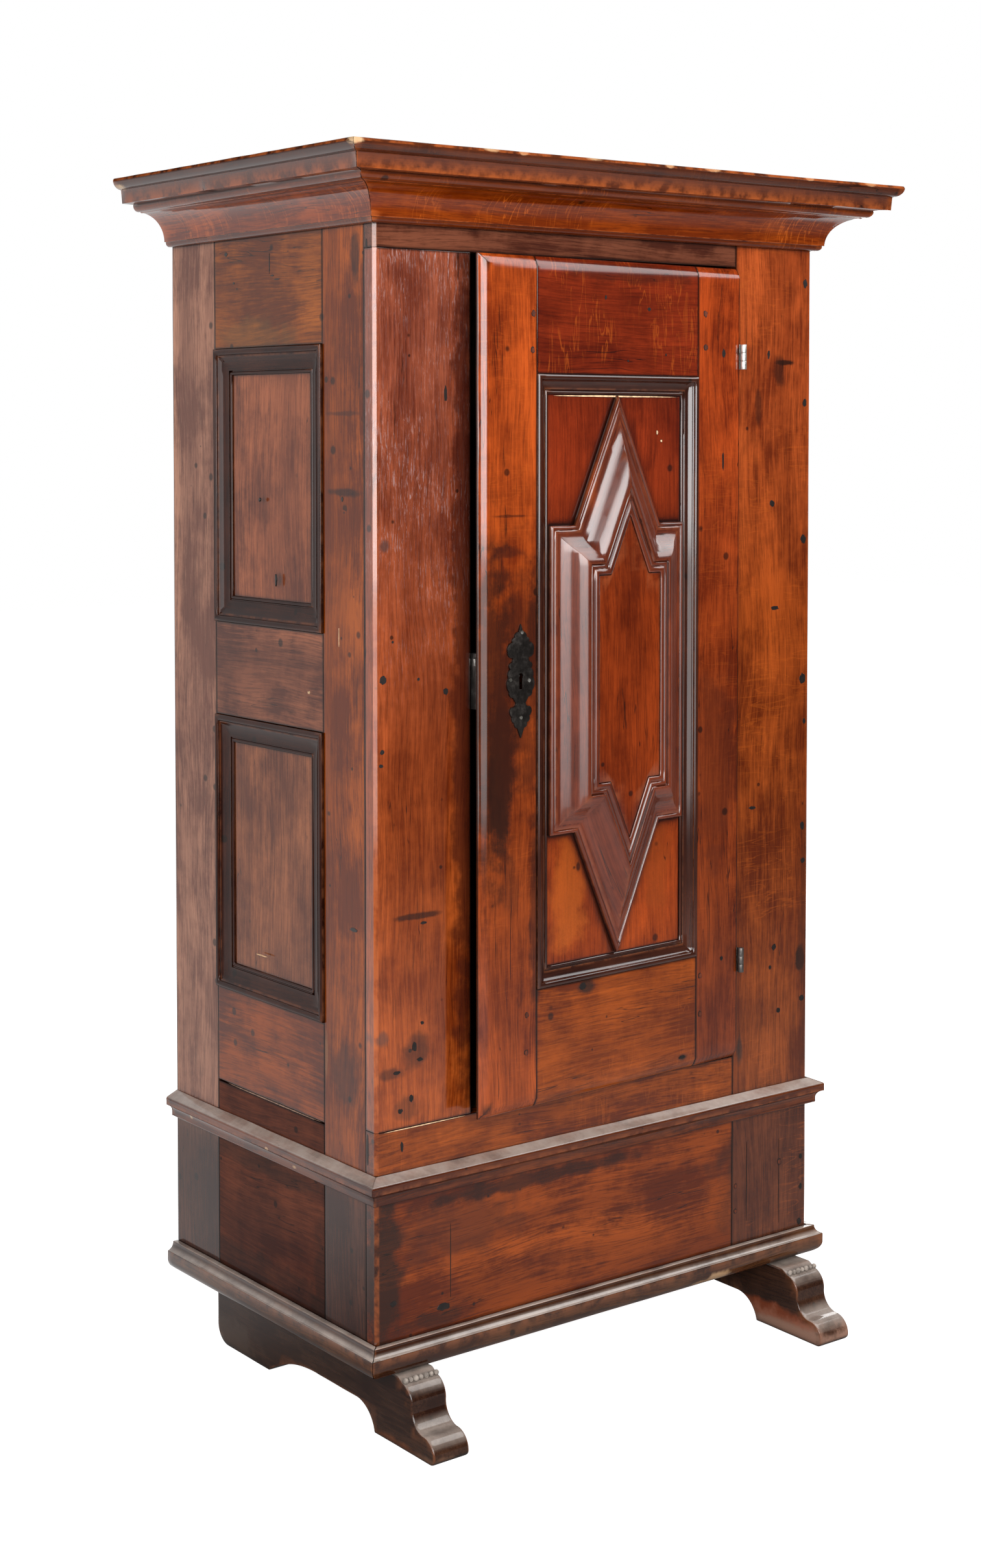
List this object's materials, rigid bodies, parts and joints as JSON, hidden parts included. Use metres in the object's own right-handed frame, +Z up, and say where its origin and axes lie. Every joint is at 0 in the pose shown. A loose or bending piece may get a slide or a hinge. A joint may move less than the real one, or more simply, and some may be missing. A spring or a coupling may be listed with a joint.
{
  "type": "cupboard",
  "caption": "Tall free-standing panelled cupboard with a stepped cornice, a hinged door bearing a raised star moulding, moulded side panels and scrolled sled feet.",
  "frame": {"origin": "on the floor, in the middle of the box round the whole piece", "axes": "+Z up, +X to the right of someone facing the door, +Y to the back; the door faces -Y"},
  "size_m": [1.1, 0.708, 1.9],
  "materials": {
    "front_oak": "old reddish-brown varnish, worn and slightly glossy",
    "side_oak": "old reddish-brown varnish, satin",
    "panel_oak": "orange-red varnish, satin",
    "moulding_oak": "near-black brown varnish, satin with worn arrises",
    "foot_oak": "dark dusty brown, dull",
    "door_oak": "reddish-brown varnish, glossy in places",
    "inner_board": "bare old boards, matt",
    "dark_iron": "dark forged iron with worn edges",
    "bright_steel": "plain worn steel"
  },
  "bodies": {
    "case": {"front_left_stile": "front_oak", "front_right_stile": "front_oak", "frieze_rail": "front_oak", "lower_front_rail": "front_oak", "plinth_front_board": "front_oak", "left_side_front_stile": "side_oak", "left_side_rear_stile": "side_oak", "left_top_rail": "side_oak", "left_mid_rail": "side_oak", "left_bottom_rail": "side_oak", "left_plinth_board": "side_oak", "right_side_front_stile": "side_oak", "right_side_rear_stile": "side_oak", "right_top_rail": "side_oak", "right_mid_rail": "side_oak", "right_bottom_rail": "side_oak", "right_plinth_board": "side_oak", "left_upper_panel": "panel_oak", "left_lower_panel": "panel_oak", "right_upper_panel": "panel_oak", "right_lower_panel": "panel_oak", "left_upper_moulding": "moulding_oak", "left_lower_moulding": "moulding_oak", "right_upper_moulding": "moulding_oak", "right_lower_moulding": "moulding_oak", "cornice_front": "moulding_oak", "cornice_left": "moulding_oak", "cornice_right": "moulding_oak", "mid_moulding_front": "moulding_oak", "mid_moulding_left": "moulding_oak", "mid_moulding_right": "moulding_oak", "base_moulding_front": "moulding_oak", "base_moulding_left": "moulding_oak", "base_moulding_right": "moulding_oak", "left_foot": "foot_oak", "right_foot": "foot_oak", "top_board": "inner_board", "base_board": "inner_board", "floor_board": "inner_board", "back_board_left": "inner_board", "back_board_right": "inner_board", "shelf": "inner_board", "left_shelf_bearer": "inner_board", "right_shelf_bearer": "inner_board", "lower_hinge_case_leaf": "dark_iron", "upper_hinge_case_leaf": "bright_steel"},
    "door": {"door_lock_stile": "door_oak", "door_hinge_stile": "door_oak", "door_top_rail": "door_oak", "door_bottom_rail": "door_oak", "door_panel": "panel_oak", "door_panel_moulding": "moulding_oak", "star_moulding": "moulding_oak", "star_field": "panel_oak", "key_plate": "dark_iron", "lock_case": "dark_iron", "upper_hinge_door_leaf": "bright_steel", "lower_hinge_door_leaf": "dark_iron"},
    "lock_bolt": {"lock_bolt": "bright_steel"}
  },
  "joints": [
    {"name": "door_hinge", "type": "hinge", "parent": "case", "child": "door", "pos_m": [0.271, -0.2431, 1.123], "axis": [0, 0, 1], "range_deg": [-3.7, 161.3]},
    {"name": "lock_bolt_slide", "type": "slide", "parent": "door", "child": "lock_bolt", "axis": [-0.9979, -0.0645, 0], "range_m": [0, 0.014]}
  ]
}
